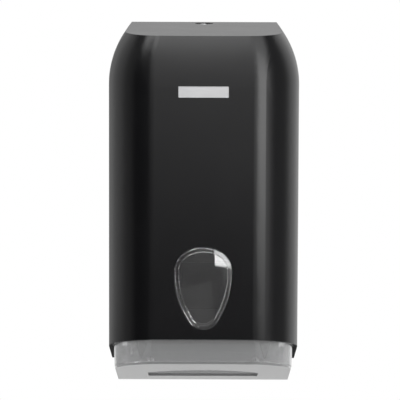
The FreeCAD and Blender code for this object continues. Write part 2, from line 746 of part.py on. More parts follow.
def back_plate():
    body = new_body("BackPlate")
    tray = new_sketch(body, "XZ_Plane")
    plate_outline(tray, "0")
    pad(body, tray, "Dims.plate_rim")
    floor = new_sketch(body, "XZ_Plane", "Dims.plate_wall")
    plate_outline(floor, "Dims.rim_wall")
    pocket(body, floor, "Dims.plate_rim", reverse=True)
    foot = new_sketch(body, "XZ_Plane", "Dims.plate_wall")
    rectangle(foot, "-%s - 1" % EAR_OUT, "%s + 1" % EAR_OUT, "-" + PLATE_BELOW + " - 1", "-" + PLATE_STEP)
    pocket(body, foot, "Dims.plate_rim", reverse=True)

    # stiffening ribs on the front
    upright = new_sketch(body, "XZ_Plane")
    rib_half = "(Dims.rib_width/2)"
    rib_top = "(2.5*" + RIB_PITCH + ")"
    rectangle(upright, "-" + rib_half, rib_half, "-" + rib_top, rib_top)
    pad(body, upright, "Dims.rib_depth")
    cross = new_sketch(body, "XZ_Plane")
    span = "(" + PAPER_HALF + " - Dims.guide_flange - 1)"
    rectangle(cross, "-" + span, span, "-%s - %s" % (rib_top, rib_half), "-%s + %s" % (rib_top, rib_half))
    rung = pad(body, cross, "Dims.rib_depth")
    doc.recompute()
    rungs = body.newObject("PartDesign::LinearPattern", "PlateRungs")
    rungs.Originals = [rung]
    rungs.Direction = (plane_of(body, "XY_Plane"), [""])
    bind(rungs, "Length", "5*" + RIB_PITCH)
    rungs.Occurrences = 6
    body.Tip = rungs
    doc.recompute()

    # bosses and counterbored holes of the wall screws
    bosses = new_sketch(body, "XZ_Plane")
    for x, z in wall_screw_places():
        circle(bosses, x, z, "Dims.wall_boss_radius")
    pad(body, bosses, "Dims.wall_boss_depth")
    doc.recompute()
    centres = new_sketch(body, "XZ_Plane", "Dims.wall_boss_depth")
    for x, z in wall_screw_places():
        circle(centres, x, z, "Dims.wall_screw_radius")
    doc.recompute()
    holes = body.newObject("PartDesign::Hole", "WallHoles")
    holes.Profile = centres
    holes.ThreadType = 0
    holes.HoleCutType = 1
    bind(holes, "Diameter", "2*Dims.wall_screw_radius")
    bind(holes, "HoleCutDiameter", "2*Dims.wall_boss_radius - 4")
    holes.HoleCutCustomValues = True
    bind(holes, "HoleCutDepth", "Dims.wall_boss_depth - Dims.plate_wall")
    holes.DepthType = 1
    body.Tip = holes
    doc.recompute()

    # pilot holes of the screws that fix the guides, the keeper and the tray
    pilots = new_sketch(body, "XZ_Plane", "0.4")
    for x, z in guide_screw_places():
        circle(pilots, x, z, BIG_PILOT)
    for sign in ("", "-"):
        circle(pilots, sign + "Dims.tray_screw_x", "-" + TRAY_SCREW_Z, BIG_PILOT)
        circle(pilots, sign + "Dims.keeper_screw_x", KEEPER_SCREW_Z, SMALL_PILOT)
    pocket(body, pilots, "10", reverse=True)

    # ears that carry the hinge pins
    ear = new_sketch(body, "YZ_Plane", EAR_IN)
    ear_outline(ear, "0")
    ear_pad = pad(body, ear, "Dims.ear_width")
    bore = new_sketch(body, "YZ_Plane", EAR_IN)
    circle(bore, "-Dims.hinge_depth", "-" + HINGE_BELOW, "(Dims.pin_radius + Dims.pin_play)")
    bore_cut = pocket(body, bore, "Dims.ear_width", reverse=True)
    mirror(body, [ear_pad, bore_cut])
    keep(body, "back_plate")


# Side guides that hold the stack of paper, and their chutes that lead it to the slot
def paper_guide(label, sign):
    body = new_body("Guide" + label.split("_")[-1].title())

    def across(expression):
        return sign + "(%s)" % expression

    near, far = "-Dims.plate_wall", "-" + GUIDE_DEPTH
    inner, outer = across(PAPER_HALF), across(PAPER_HALF + " + Dims.guide_wall")
    plan = new_sketch(body, "XY_Plane", "-" + GUIDE_BELOW)
    outline(plan, [
        (outer, near),
        (across(PAPER_HALF + " - Dims.guide_flange"), near),
        (across(PAPER_HALF + " - Dims.guide_flange"), near + " - Dims.guide_wall"),
        (inner, near + " - Dims.guide_wall"),
        (inner, far + " + Dims.guide_wall"),
        (across(PAPER_HALF + " - Dims.guide_lip"), far + " + Dims.guide_wall"),
        (across(PAPER_HALF + " - Dims.guide_lip"), far),
        (outer, far),
    ])
    pad(body, plan, GUIDE_ABOVE + " + " + GUIDE_BELOW)

    # the upper front corner slopes back, so that a new pack drops in from the front
    slope = new_sketch(body, "YZ_Plane")
    outline(slope, [
        ("-(" + GUIDE_DEPTH + " + 1)", GUIDE_ABOVE + " + 1"),
        ("-(" + GUIDE_DEPTH + " + 1)", GUIDE_ABOVE + " - Dims.guide_slope"),
        ("-(" + GUIDE_DEPTH + " - Dims.guide_slope)", GUIDE_ABOVE + " + 1"),
    ])
    pocket(body, slope, "4*" + PAPER_HALF, both=True)

    # lightening windows, two in a column
    doc.recompute()
    frame = "(" + GUIDE_DEPTH + "/5)"
    window = new_sketch(body, "YZ_Plane")
    outline(window, [
        ("-" + frame, "-Dims.guide_wall*2"),
        (("-(" + GUIDE_DEPTH + " - %s)") % frame, "-Dims.guide_wall*2"),
        (("-(" + GUIDE_DEPTH + " - %s)") % frame, "-" + GUIDE_BELOW + " + Dims.guide_wall*7"),
        ("-" + frame, "-" + GUIDE_BELOW + " + Dims.guide_wall*7"),
    ])
    pocket(body, window, "4*" + PAPER_HALF, both=True)
    upper = new_sketch(body, "YZ_Plane")
    outline(upper, [
        ("-" + frame, GUIDE_ABOVE + " - Dims.guide_wall*7"),
        ("-(" + GUIDE_DEPTH + " - Dims.guide_slope)", GUIDE_ABOVE + " - Dims.guide_wall*7"),
        (("-(" + GUIDE_DEPTH + " - %s)") % frame, GUIDE_ABOVE + " - Dims.guide_slope"),
        (("-(" + GUIDE_DEPTH + " - %s)") % frame, "Dims.guide_wall*2"),
        ("-" + frame, "Dims.guide_wall*2"),
    ])
    pocket(body, upper, "4*" + PAPER_HALF, both=True)

    # chute that slants inwards to the end of the slot
    chute = new_sketch(body, "XZ_Plane", "Dims.chute_back")
    start, end = "(-" + GUIDE_BELOW + " + 1)", "-" + CHUTE_BELOW
    outline(chute, [
        (outer, start),
        (inner, start),
        (across(PAPER_HALF + " - Dims.chute_shift"), end),
        (across(PAPER_HALF + " - Dims.chute_shift + Dims.guide_wall"), end),
    ])
    pad(body, chute, CHUTE_FRONT + " - Dims.chute_back")

    holes = new_sketch(body, "XZ_Plane", "Dims.plate_wall - 1")
    for z in ("Dims.guide_screw_z", "-Dims.guide_screw_z"):
        circle(holes, sign + GUIDE_SCREW_X, z, BIG_PILOT)
    body.Tip = pocket(body, holes, "Dims.guide_wall + 2", reverse=True)
    keep(body, label)


# Smoked tray that closes the dispenser below and holds the outlet slot
def tray_section(body, level, inset, front_inset, back):
    """A plan section in a plane that runs parallel to the sloping underside."""
    sketch = new_sketch(body, "XY_Plane", "-Dims.tray_below + %s" % level, TRAY_TILT)
    stretch = "cos(%s)" % TRAY_TILT
    half = "(%s - Dims.tray_gap - %s)" % (INNER, inset)
    depth = "((%s - %s)/%s)" % (TRAY_FRONT, front_inset, stretch)
    corner = "((Dims.corner_depth - Dims.cover_wall - Dims.tray_gap - %s)/%s)" % (inset, stretch)
    panel = "(Dims.panel_half - (Dims.cover_wall + Dims.tray_gap + %s)*Dims.crease)" % inset
    plan_section(sketch, half, depth, corner, panel, "Dims.side_draft", "-(%s)/%s" % (back, stretch))
    return sketch


def bottom_tray():
    body = new_body("BottomTray")
    lip = "(Dims.tray_draft + Dims.lip_inset)"
    cut = "(Dims.tray_draft + Dims.lip_round)"
    foot = tray_section(body, "0", lip, lip, "Dims.tray_back")
    band = tray_section(body, "Dims.lip_height", lip, lip, "Dims.tray_back")
    edge = tray_section(body, "Dims.lip_height", cut, cut, "Dims.tray_back")
    fold_level = "(Dims.lip_height + Dims.lip_round)"
    fold = tray_section(body, fold_level, "Dims.tray_draft", "Dims.tray_draft", "Dims.tray_back")
    top = tray_section(body, "Dims.tray_height", "0", "0", "Dims.tray_back")
    doc.recompute()
    for lower, upper in ((foot, band), (edge, fold), (fold, top)):
        loft(body, "Additive", [lower, upper], ruled=True)
        doc.recompute()
    rear = "(Dims.plate_wall + Dims.tray_wall)"
    deep = "(Dims.tray_draft + Dims.tray_wall)"
    inside = tray_section(body, "Dims.tray_wall", deep, deep, rear)
    mouth = tray_section(body, "Dims.tray_height + 1", "Dims.tray_wall", "Dims.tray_wall", rear)
    doc.recompute()
    loft(body, "Subtractive", [inside, mouth], ruled=True)
    doc.recompute()

    # room for the foot of the back plate
    recess = new_sketch(body, "XZ_Plane", "-1")
    side = "(%s + Dims.tray_gap)" % EAR_OUT
    rectangle(recess, "-" + side, side, "(-" + PLATE_BELOW + " - Dims.tray_gap)", "0")
    pocket(body, recess, "Dims.plate_wall + 1", reverse=True)

    # room for the turning knuckles of the hinge
    clear = new_sketch(body, "YZ_Plane", "%s - Dims.pin_head_length - 1" % EAR_IN)
    ear_outline(clear, "Dims.tray_gap")
    clear_cut = pocket(body, clear, "Dims.cover_width/4", reverse=True)
    mirror(body, [clear_cut])
    doc.recompute()

    # outlet slot: straight behind, bowed in front
    slot = new_sketch(body, "XY_Plane", "-Dims.tray_below - 1")
    bow = "((Dims.slot_half^2 + Dims.slot_bow^2)/2/Dims.slot_bow)"
    outline(slot, [
        ("Dims.slot_half", "-Dims.slot_back"),
        ("-Dims.slot_half", "-Dims.slot_back"),
        ("-Dims.slot_half", "-Dims.slot_side", bow),
        ("Dims.slot_half", "-Dims.slot_side"),
    ])
    pocket(body, slot, "Dims.tray_rise + 10", reverse=True)

    # wedge-shaped catches behind the rounded corners of the front wall, square to the wall there
    half, corner = "(%s - Dims.tray_gap)" % INNER, "(Dims.corner_depth - Dims.cover_wall - Dims.tray_gap)"
    panel = "(Dims.panel_half - (Dims.cover_wall + Dims.tray_gap)*Dims.crease)"
    middle = "((%s - (%s - Dims.side_draft)*Dims.crease)/(1 - Dims.crease))" % (panel, half)
    across = "(%s - Dims.side_draft - %s)" % (half, middle)
    reach = ("((" + POCKET_X + " - %s)/%s)") % (middle, across)
    drop = "sqrt(1 - %s^2)" % reach
    face = "(%s - %s*(1 - %s))" % (TRAY_FRONT, corner, drop)
    turn = "atan(%s/%s*%s/%s)" % (corner, across, reach, drop)
    catch = wedge(body, "0", face, turn, "Dims.pocket_depth + Dims.tray_wall")
    catch_pad = pad(body, catch, "(Dims.pocket_depth + Dims.tray_wall/2)")
    void = wedge(body, "Dims.pocket_wall", face, turn, "Dims.pocket_depth + Dims.tray_wall + 1")
    void_cut = pocket(body, void, "(Dims.pocket_depth - 0.6)", reverse=True)
    mirror(body, [catch_pad, void_cut])
    doc.recompute()

    holes = new_sketch(body, "XZ_Plane", "0")
    for sign in ("", "-"):
        circle(holes, sign + "Dims.tray_screw_x", "-" + TRAY_SCREW_Z, BIG_PILOT)
    body.Tip = pocket(body, holes, "10", reverse=True)
    keep(body, "bottom_tray")


def wedge(body, inset, face, turn, behind):
    """A sketch of a catch, wide above and narrow below, turned square to the wall in front of it."""
    sketch = body.newObject("Sketcher::SketchObject", body.Name + "Sketch")
    sketch.AttachmentSupport = [(plane_of(body, "XZ_Plane"), "")]
    sketch.MapMode = "FlatFace"
    aside = (POCKET_X + " - (%s)*sin(%s)") % (behind, turn)
    ahead = "%s - (%s)*cos(%s)" % (face, behind, turn)
    turned = Rotation(Vector(0, 1, 0), value(turn))
    sketch.AttachmentOffset = Placement(Vector(value(aside), 0, value(ahead)), turned)
    bind(sketch, "AttachmentOffset.Base.x", aside)
    bind(sketch, "AttachmentOffset.Base.z", ahead)
    bind(sketch, "AttachmentOffset.Rotation.Angle", turn)
    top_half = "(Dims.pocket_half - 1.3*%s)" % inset
    foot_half = "(Dims.pocket_foot - 0.4*%s)" % inset
    high = ("(-" + POCKET_ABOVE + " - %s)") % inset
    low = ("(-" + POCKET_BELOW + " + 1.5*%s)") % inset
    outline(sketch, [(top_half, high), ("-" + top_half, high), ("-" + foot_half, low), (foot_half, low)])
    return sketch


def hinge_pin(label, sign):
    """A headed pin: it runs in the ear and is pressed into the cover's boss."""
    body = new_body("Pin" + label.split("_")[-1].title())
    turned = sign == "-"
    head_end = "(%s - Dims.ear_play/3)" % EAR_IN
    shank = new_sketch(body, "YZ_Plane", sign + head_end)
    circle(shank, "-Dims.hinge_depth", "-" + HINGE_BELOW, "Dims.pin_radius")
    pad(body, shank, "%s + Dims.boss_length - 0.6 - %s" % (BOSS_IN, head_end), reverse=turned)
    head = new_sketch(body, "YZ_Plane", sign + head_end)
    circle(head, "-Dims.hinge_depth", "-" + HINGE_BELOW, "Dims.pin_head")
    pad(body, head, "Dims.pin_head_length", reverse=not turned)
    doc.recompute()
    top = value(head_end + " - Dims.pin_head_length/2")
    size = "Dims.pin_head_length/3"
    dress(body, "Chamfer", lambda box: max(abs(box.XMin), abs(box.XMax)) < top, "Size", size)
    keep(body, label)


# Lock: a housing that hangs from the cover's top, and a barrel with a cam that turns in it
def ring(body, level, radius, length, **options):
    sketch = new_sketch(body, "XY_Plane", level)
    circle(sketch, "0", "-Dims.lock_depth", radius)
    return pad(body, sketch, length, **options)


def bore(body, level, radius, length, **options):
    sketch = new_sketch(body, "XY_Plane", level)
    circle(sketch, "0", "-Dims.lock_depth", radius)
    return pocket(body, sketch, length, **options)


def lock_housing():
    body = new_body("LockHousing")
    rim = "(%s - Dims.lock_sink)" % LOCK_TOP
    ring(body, LOCK_FOOT, "Dims.lock_radius", ("%s - " + LOCK_FOOT) % rim)
    flange = new_sketch(body, "XY_Plane", LOCK_SEAT + " - Dims.lock_flange")
    across, along = "(Dims.lock_pad_half - Dims.lock_pad_radius)", "(Dims.lock_pad_radius - 0.5)"
    near, far = "(-Dims.lock_depth + %s)" % along, "(-Dims.lock_depth - %s)" % along
    outline(flange, [
        (across, near),
        ("-" + across, near, along),
        ("-" + across, far),
        (across, far, along),
    ])
    pad(body, flange, "Dims.lock_flange")
    head_seat = "(%s - Dims.barrel_sink - Dims.barrel_head - Dims.turn_play)" % LOCK_TOP
    bore(body, head_seat, "(Dims.barrel_radius + Dims.turn_play)", "20", reverse=True)
    bore(body, LOCK_FOOT + " - 1", "(Dims.barrel_shaft + Dims.turn_play)", "30", reverse=True)
    holes = new_sketch(body, "XY_Plane", LOCK_SEAT + " - Dims.lock_flange - 1")
    for sign in ("", "-"):
        circle(holes, sign + "Dims.lock_screw_x", "-Dims.lock_depth", SMALL_PILOT)
    body.Tip = pocket(body, holes, "Dims.lock_flange + 2", reverse=True)
    keep(body, "lock_housing")


def lock_barrel():
    body = new_body("LockBarrel")
    head = "(%s - Dims.barrel_sink - Dims.barrel_head)" % LOCK_TOP
    square = "(%s + Dims.cam_gap/2)" % CAM_TOP
    ring(body, head, "Dims.barrel_radius", "Dims.barrel_head")
    ring(body, square, "Dims.barrel_shaft", "%s - %s" % (head, square))
    tang = new_sketch(body, "XY_Plane", "%s - Dims.cam_wall + 0.1" % CAM_TOP)
    side = "(Dims.barrel_shaft*0.68)"
    rectangle(tang, "-" + side, side, "-Dims.lock_depth - " + side, "-Dims.lock_depth + " + side)
    pad(body, tang, "Dims.cam_wall + Dims.cam_gap")
    keys = new_sketch(body, "XY_Plane", "%s + Dims.barrel_head" % head)
    for sign in ("", "-"):
        circle(keys, sign + "Dims.key_hole_x", "-Dims.lock_depth", "Dims.key_hole_radius")
    pocket(body, keys, "Dims.barrel_head*0.8")
    bore(body, "%s - Dims.cam_wall" % CAM_TOP, SMALL_PILOT, "8", reverse=True)
    keep(body, "lock_barrel")


def lock_cam():
    """An arm with a lug that hangs from its tip, pointing to the viewer's right when unlocked."""
    body = new_body("LockCam")
    foot = "(%s - Dims.cam_wall)" % CAM_TOP
    ring(body, foot, "Dims.cam_hub", "Dims.cam_wall")
    arm = new_sketch(body, "XY_Plane", foot)
    half = "(Dims.cam_lug_width/2)"
    tip = "(Dims.cam_reach + Dims.cam_lug/2)"
    front, back = "-Dims.lock_depth - " + half, "-Dims.lock_depth + " + half
    rectangle(arm, "0", tip, front, back)
    pad(body, arm, "Dims.cam_wall")
    lug = new_sketch(body, "XY_Plane", foot)
    rectangle(lug, "%s - Dims.cam_lug" % tip, tip, front, back)
    pad(body, lug, "Dims.cam_drop", reverse=True)
    side = "(Dims.barrel_shaft*0.68 + Dims.screw_play)"
    square = new_sketch(body, "XY_Plane", foot + " - 1")
    rectangle(square, "-" + side, side, "-Dims.lock_depth - " + side, "-Dims.lock_depth + " + side)
    body.Tip = pocket(body, square, "Dims.cam_wall + 2", reverse=True)
    keep(body, "lock_cam")


def cam_washer():
    body = new_body("CamWasher")
    under = "(%s - Dims.cam_wall)" % CAM_TOP
    ring(body, under, "Dims.washer_radius", "Dims.washer_wall", reverse=True)
    body.Tip = bore(body, under + " + 1", SMALL_PILOT, "Dims.washer_wall + 2")
    keep(body, "cam_washer")


def lock_keeper():
    """A bent strip on the back plate: the cam's lug turns in behind its upright tab."""
    body = new_body("LockKeeper")
    strip = new_sketch(body, "YZ_Plane")
    back = "Dims.plate_wall"
    outline(strip, [
        ("-" + back, KEEPER_SHELF),
        ("-" + back, KEEPER_FOOT),
        ("-(%s + Dims.keeper_wall)" % back, KEEPER_FOOT),
        ("-(%s + Dims.keeper_wall)" % back, KEEPER_SHELF + " - Dims.keeper_wall"),
        ("-Dims.keeper_reach", KEEPER_SHELF + " - Dims.keeper_wall"),
        ("-Dims.keeper_reach", KEEPER_SHELF),
    ])
    pad(body, strip, "2*Dims.keeper_half", both=True)
    tab = new_sketch(body, "XZ_Plane", "Dims.keeper_reach - Dims.keeper_tab_wall")
    root = KEEPER_SHELF + " - Dims.keeper_wall"
    rectangle(tab, "-Dims.keeper_tab_half", "Dims.keeper_tab_half", root, KEEPER_TAB)
    pad(body, tab, "Dims.keeper_tab_wall")
    holes = new_sketch(body, "XZ_Plane", "Dims.plate_wall - 1")
    for sign in ("", "-"):
        circle(holes, sign + "Dims.keeper_screw_x", KEEPER_SCREW_Z, SMALL_PILOT)
    body.Tip = pocket(body, holes, "Dims.keeper_wall + 2", reverse=True)
    keep(body, "lock_keeper")


# Pan-head screws, drawn along Z with the seat of the head at the local origin
def screw(name, places, size, length, turn):
    radius, head, height = size
    copies = []
    for index, place in enumerate(places):
        body = new_body("%s%d" % (name, index + 1))
        profile = new_sketch(body, "XZ_Plane")
        outline(profile, [
            ("0", "-(%s)" % length),
            ("%s*0.6" % radius, "-(%s)" % length),
            (radius, "-(%s) + %s" % (length, radius)),
            (radius, "0"),
            (head, "0"),
            (head, "%s*0.35" % height, "%s*1.6" % head),
            ("0", height),
        ])
        turned = body.newObject("PartDesign::Revolution", body.Name + "Turned")
        turned.Profile = profile
        turned.ReferenceAxis = (profile, ["V_Axis"])
        turned.Angle = 360
        doc.recompute()
        drive = new_sketch(body, "XY_Plane", height)
        arm, web = "(%s*0.62)" % head, "(%s*0.16)" % head
        outline(drive, [
            (arm, web), (web, web), (web, arm), ("-" + web, arm), ("-" + web, web), ("-" + arm, web),
            ("-" + arm, "-" + web), ("-" + web, "-" + web), ("-" + web, "-" + arm),
            (web, "-" + arm), (web, "-" + web), (arm, "-" + web),
        ])
        body.Tip = pocket(body, drive, "%s*0.55" % height)
        body.Placement = Placement(Vector(*[value(c) for c in place]), Rotation(Vector(1, 0, 0), turn))
        for axis, coordinate in zip("xyz", place):
            bind(body, "Placement.Base." + axis, coordinate)
        copies.append(body)
    return copies


def screw_group(label, places, size, length, turn):
    copies = screw("".join(word.title() for word in label.split("_")), places, size, length, turn)
    if len(copies) == 1:
        keep(copies[0], label)
        return
    group = doc.addObject("Part::Compound", label.title().replace("_", ""))
    group.Links = copies
    keep(group, label)


BIG_SCREW = ("Dims.screw_radius", "Dims.screw_head", "Dims.screw_head_height")
SMALL_SCREW = ("Dims.small_screw_radius", "Dims.small_screw_head", "Dims.small_screw_head_height")
INTO_WALL, UPWARDS = 90, 180


def fixing_screws():
    guide_seat = "(Dims.plate_wall + Dims.guide_wall)"
    places = [(x, "-" + guide_seat, z) for x, z in guide_screw_places()]
    screw_group("guide_screws", places, BIG_SCREW, "%s - 0.5" % guide_seat, INTO_WALL)
    tray_seat = "(Dims.plate_wall + Dims.tray_wall)"
    places = [(sign + "Dims.tray_screw_x", "-" + tray_seat, "-" + TRAY_SCREW_Z) for sign in ("", "-")]
    screw_group("tray_screws", places, BIG_SCREW, "%s - 0.5" % tray_seat, INTO_WALL)
    keeper_seat = "(Dims.plate_wall + Dims.keeper_wall)"
    places = [(sign + "Dims.keeper_screw_x", "-" + keeper_seat, KEEPER_SCREW_Z) for sign in ("", "-")]
    screw_group("keeper_screws", places, SMALL_SCREW, "%s - 0.5" % keeper_seat, INTO_WALL)
    lock_seat = "(" + LOCK_SEAT + " - Dims.lock_flange)"
    places = [(sign + "Dims.lock_screw_x", "-Dims.lock_depth", lock_seat) for sign in ("", "-")]
    reach = "(Dims.lock_flange + Dims.lock_pad_drop - 1.2)"
    screw_group("lock_screws", places, SMALL_SCREW, reach, UPWARDS)
    washer_seat = "(%s - Dims.cam_wall - Dims.washer_wall)" % CAM_TOP
    places = [("0", "-Dims.lock_depth", washer_seat)]
    screw_group("cam_screw", places, SMALL_SCREW, "Dims.washer_wall + 7", UPWARDS)


front_cover()
window_lens()
hinge_pin("hinge_pin_left", "-")
hinge_pin("hinge_pin_right", "")
lock_housing()
lock_barrel()
lock_cam()
cam_washer()
back_plate()
lock_keeper()
paper_guide("paper_guide_left", "-")
paper_guide("paper_guide_right", "")
bottom_tray()
fixing_screws()
doc.recompute()

faults = [item.Name for item in doc.Objects if "Invalid" in item.State or "Error" in item.State]
for label, item in parts.items():
    shape = item.Shape
    if shape.isNull() or not shape.isValid() or not shape.Solids:
        faults.append(label)
        continue
    print(label, len(shape.Solids), "solids", round(shape.Volume), "mm3", len(shape.Faces), "faces")
if faults:
    raise RuntimeError("these failed: " + ", ".join(faults))

os.makedirs("parts", exist_ok=True)
for label, item in parts.items():
    item.Shape.exportStep("parts/%s.step" % label)
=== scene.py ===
import bpy
import bmesh
import math
from mathutils import Matrix, Vector


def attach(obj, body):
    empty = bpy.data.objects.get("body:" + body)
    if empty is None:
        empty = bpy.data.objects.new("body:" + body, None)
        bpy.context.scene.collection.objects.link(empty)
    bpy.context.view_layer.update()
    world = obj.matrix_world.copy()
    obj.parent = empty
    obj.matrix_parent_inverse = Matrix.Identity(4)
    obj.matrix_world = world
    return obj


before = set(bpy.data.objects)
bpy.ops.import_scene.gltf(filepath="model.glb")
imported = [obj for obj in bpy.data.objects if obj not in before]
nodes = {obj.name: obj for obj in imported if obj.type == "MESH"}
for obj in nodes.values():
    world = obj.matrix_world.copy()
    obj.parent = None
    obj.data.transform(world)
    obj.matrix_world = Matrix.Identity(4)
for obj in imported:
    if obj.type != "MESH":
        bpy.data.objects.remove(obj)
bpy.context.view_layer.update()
print("frame loaded with", len(nodes), "nodes")


# Camera: straight in front of the dispenser, a little above it, on a long lens
cameraSetup = {"aim": (0, -0.072, 0), "distance": 2.006, "pitch": 6.0, "roll": 0.2, "sensor": 36,
               "pictureSize": 400, "focalPixels": 2430, "centrePixel": 203.6, "clip": (0.05, 60)}


def makeCamera(setup):
    pitch, size = math.radians(setup["pitch"]), setup["pictureSize"]
    forward = Vector((0, math.cos(pitch), -math.sin(pitch)))
    data = bpy.data.cameras.new("photoCamera")
    data.sensor_width = setup["sensor"]
    data.lens = setup["sensor"] * setup["focalPixels"] / size
    data.shift_x = -(setup["centrePixel"] - size / 2) / size
    data.clip_start, data.clip_end = setup["clip"]
    camera = bpy.data.objects.new("photoCamera", data)
    tilt = Matrix.Rotation(math.pi / 2 - pitch, 4, "X")
    turn = tilt @ Matrix.Rotation(math.radians(setup["roll"]), 4, "Z")
    place = Vector(setup["aim"]) - setup["distance"] * forward
    camera.matrix_world = Matrix.Translation(place) @ turn
    bpy.context.collection.objects.link(camera)
    bpy.context.scene.camera = camera


makeCamera(cameraSetup)
print("camera placed")


# Small helpers that put nodes into a node tree and feed their sockets
def put(tree, kind, **values):
    node = tree.nodes.new("ShaderNode" + kind)
    for name, value in values.items():
        setattr(node, name, value)
    return node


def feed(tree, value, socket):  # by a wire from another socket, or with a plain value
    if isinstance(value, bpy.types.NodeSocket):
        tree.links.new(value, socket)
    else:
        socket.default_value = value


def mathNode(tree, operation, first, second=None, clamp=False):
    node = put(tree, "Math", operation=operation, use_clamp=clamp)
    feed(tree, first, node.inputs[0])
    if second is not None:
        feed(tree, second, node.inputs[1])
    return node.outputs[0]


def noiseOn(tree, where, scale, detail, roughness=0.5, distortion=0.0):
    node = put(tree, "TexNoise")
    feed(tree, where, node.inputs["Vector"])
    feed(tree, scale, node.inputs["Scale"])
    feed(tree, detail, node.inputs["Detail"])
    feed(tree, roughness, node.inputs["Roughness"])
    feed(tree, distortion, node.inputs["Distortion"])
    return node.outputs["Fac"]


def blendColors(tree, factor, first, second):
    mix = put(tree, "Mix", data_type="RGBA")
    feed(tree, factor, mix.inputs["Factor"])
    feed(tree, first, mix.inputs[6])
    feed(tree, second, mix.inputs[7])
    return mix.outputs[2]


def newGroup(name, inputs, outputs):
    group = bpy.data.node_groups.new(name, "ShaderNodeTree")
    for label, kind, value in inputs:
        socket = group.interface.new_socket(label, in_out="INPUT", socket_type="NodeSocket" + kind)
        socket.default_value = value
    for label, kind in outputs:
        group.interface.new_socket(label, in_out="OUTPUT", socket_type="NodeSocket" + kind)
    start = group.nodes.new("NodeGroupInput")
    end = group.nodes.new("NodeGroupOutput")
    return group, start.outputs, end.inputs


# Moulded grain: fine pits of spark-eroded tooling, as a height, and how it scatters the gloss
grainPattern = {"pitDetail": 3, "patchScale": 26, "patchDetail": 3, "patchRoughness": 0.6}


def makeGrainGroup(pattern):
    group, given, out = newGroup(
        "mouldedGrain",
        [("Grain Size", "Float", 1400.0), ("Roughness", "Float", 0.3), ("Spread", "Float", 0.06)],
        [("Height", "Float"), ("Roughness", "Float")])
    where = put(group, "TexCoord").outputs["Object"]
    pits = noiseOn(group, where, given["Grain Size"], pattern["pitDetail"])
    patches = noiseOn(group, where, pattern["patchScale"], pattern["patchDetail"],
                      pattern["patchRoughness"])
    centred = mathNode(group, "SUBTRACT", patches, 0.5)
    spread = mathNode(group, "MULTIPLY", centred, given["Spread"])
    feed(group, pits, out["Height"])
    feed(group, mathNode(group, "ADD", given["Roughness"], spread, True), out["Roughness"])
    return group


# Dust: pale specks and a patchy film, most on faces that look up and a small share elsewhere
dustPattern = {"leastShare": 0.12, "speckScale": 420, "speckSize": 0.11, "speckShare": 0.5,
               "filmScale": 38, "filmDetail": 4, "filmRoughness": 0.65, "filmStart": 0.42,
               "filmShare": 1.6}


def makeDustGroup(pattern):
    group, given, out = newGroup(
        "settledDust",
        [("Base", "Color", (0.02, 0.02, 0.02, 1)), ("Dust", "Color", (0.45, 0.44, 0.42, 1)),
         ("Amount", "Float", 0.04)],
        [("Color", "Color"), ("Mask", "Float")])
    where = put(group, "TexCoord").outputs["Object"]
    split = put(group, "SeparateXYZ")
    feed(group, put(group, "NewGeometry").outputs["Normal"], split.inputs[0])
    upward = mathNode(group, "MAXIMUM", split.outputs["Z"], pattern["leastShare"])
    facing = mathNode(group, "MULTIPLY", upward, given["Amount"])
    specks = put(group, "TexVoronoi", feature="F1")
    feed(group, pattern["speckScale"], specks.inputs["Scale"])
    feed(group, where, specks.inputs["Vector"])
    dots = mathNode(group, "LESS_THAN", specks.outputs["Distance"], pattern["speckSize"])
    clouds = noiseOn(group, where, pattern["filmScale"], pattern["filmDetail"],
                     pattern["filmRoughness"])
    above = mathNode(group, "SUBTRACT", clouds, pattern["filmStart"], True)
    film = mathNode(group, "MULTIPLY", above, pattern["filmShare"])
    both = mathNode(group, "ADD", mathNode(group, "MULTIPLY", dots, pattern["speckShare"]), film)
    mask = mathNode(group, "MULTIPLY", both, facing, True)
    feed(group, blendColors(group, mask, given["Base"], given["Dust"]), out["Color"])
    feed(group, mask, out["Mask"])
    return group


# Hairline scratches as a mask: they run along the axis that Stretch packs least
hairlinePattern = {"detail": 3, "roughness": 0.55, "distortion": 0.3, "contrast": 5.0}


def makeScratchGroup(pattern):
    group, given, out = newGroup(
        "hairlines",
        [("Stretch", "Vector", (60.0, 1800.0, 60.0)), ("Threshold", "Float", 0.62)],
        [("Mask", "Float")])
    stretched = put(group, "VectorMath", operation="MULTIPLY")
    feed(group, put(group, "TexCoord").outputs["Object"], stretched.inputs[0])
    feed(group, given["Stretch"], stretched.inputs[1])
    lines = noiseOn(group, stretched.outputs[0], 1.0, pattern["detail"], pattern["roughness"],
                    pattern["distortion"])
    above = mathNode(group, "SUBTRACT", lines, given["Threshold"], True)
    feed(group, mathNode(group, "MULTIPLY", above, pattern["contrast"], True), out["Mask"])
    return group


grainGroup = makeGrainGroup(grainPattern)
dustGroup = makeDustGroup(dustPattern)
scratchGroup = makeScratchGroup(hairlinePattern)
print("node groups ready")


def newMaterial(name):
    material = bpy.data.materials.new(name)
    material.use_nodes = True
    tree = material.node_tree
    return material, tree, tree.nodes["Principled BSDF"]


def useGroup(tree, group, **values):
    node = put(tree, "Group", node_tree=group)
    for name, value in values.items():
        node.inputs[name.replace("_", " ")].default_value = value
    return node.outputs


def addBump(tree, shader, height, distance, strength):
    bump = put(tree, "Bump")
    bump.inputs["Distance"].default_value = distance
    bump.inputs["Strength"].default_value = strength
    feed(tree, height, bump.inputs["Height"])
    feed(tree, bump.outputs["Normal"], shader.inputs["Normal"])


def useGrain(tree, look):
    return useGroup(tree, grainGroup, Grain_Size=look["grain"], Roughness=look["roughness"],
                    Spread=look["spread"])


